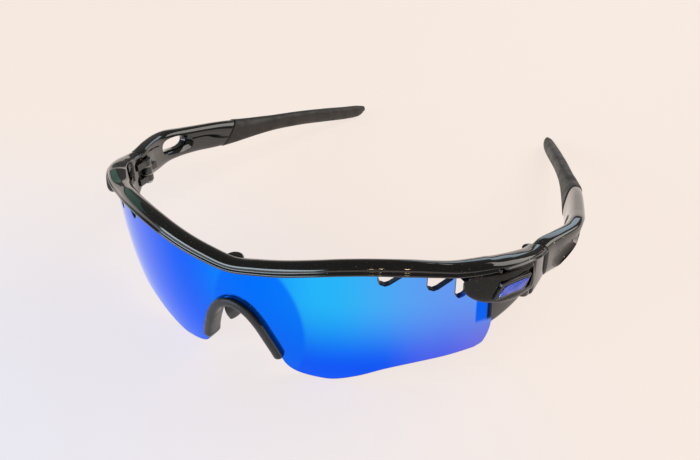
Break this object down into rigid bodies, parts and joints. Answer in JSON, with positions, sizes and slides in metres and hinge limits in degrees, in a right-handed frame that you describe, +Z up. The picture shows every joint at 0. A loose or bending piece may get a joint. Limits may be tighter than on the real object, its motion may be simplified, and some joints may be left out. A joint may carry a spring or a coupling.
{
  "type": "sport sunglasses",
  "caption": "Wraparound half-rim sport sunglasses with one mirrored shield lens, folding temples with soft ear socks, a nose bridge with pads and a latched side jaw that frees the lens.",
  "frame": {"origin": "on the table, under the middle of the box round the open glasses", "axes": "+X to the wearer's left, +Y to the back along the temples, +Z up"},
  "size_m": [0.147, 0.1671, 0.039],
  "materials": {
    "frame_black": "polished black moulded nylon",
    "lens_mirror": "polycarbonate with a blue to violet mirror coating",
    "nose_grey": "satin dark grey moulding",
    "pad_rubber": "soft matte rubber",
    "sock_rubber": "warm dark grey matte rubber",
    "inlay_blue": "metallic blue insert",
    "pin_steel": "turned steel",
    "washer_nylon": "natural nylon"
  },
  "bodies": {
    "front": {"brow_frame": "frame_black", "shield_lens": "lens_mirror", "nose_bridge": "nose_grey", "nose_pad_left": "pad_rubber", "nose_pad_right": "pad_rubber", "left_jaw_pin": "pin_steel", "right_jaw": "frame_black", "right_jaw_pin": "pin_steel", "right_inlay": "inlay_blue", "left_hinge_pin": "pin_steel", "left_hinge_washers": "washer_nylon", "right_hinge_pin": "pin_steel", "right_hinge_washers": "washer_nylon"},
    "left_jaw": {"left_jaw": "frame_black"},
    "latch": {"latch_slider": "frame_black", "latch_inlay": "inlay_blue"},
    "left_temple": {"left_temple": "frame_black", "left_ear_sock": "sock_rubber"},
    "right_temple": {"right_temple": "frame_black", "right_ear_sock": "sock_rubber"}
  },
  "joints": [
    {"name": "left_temple_fold", "type": "hinge", "parent": "front", "child": "left_temple", "pos_m": [0.06333, -0.03801, 0.0258], "axis": [0, 0, 1], "range_deg": [0, 86]},
    {"name": "right_temple_fold", "type": "hinge", "parent": "front", "child": "right_temple", "pos_m": [-0.06333, -0.03801, 0.0258], "axis": [0, 0, -1], "range_deg": [0, 75]},
    {"name": "jaw_open", "type": "hinge", "parent": "front", "child": "left_jaw", "pos_m": [0.06447, -0.0474, 0.02735], "axis": [0, 0, 1], "range_deg": [0, 16]},
    {"name": "latch_slide", "type": "slide", "parent": "left_jaw", "child": "latch", "axis": [0.5736, 0.8192, 0], "range_m": [0, 0.002]}
  ],
  "couplings": [
    {"joint": "latch_slide", "follows": "jaw_open", "m_per_rad": 0.0071619}
  ]
}
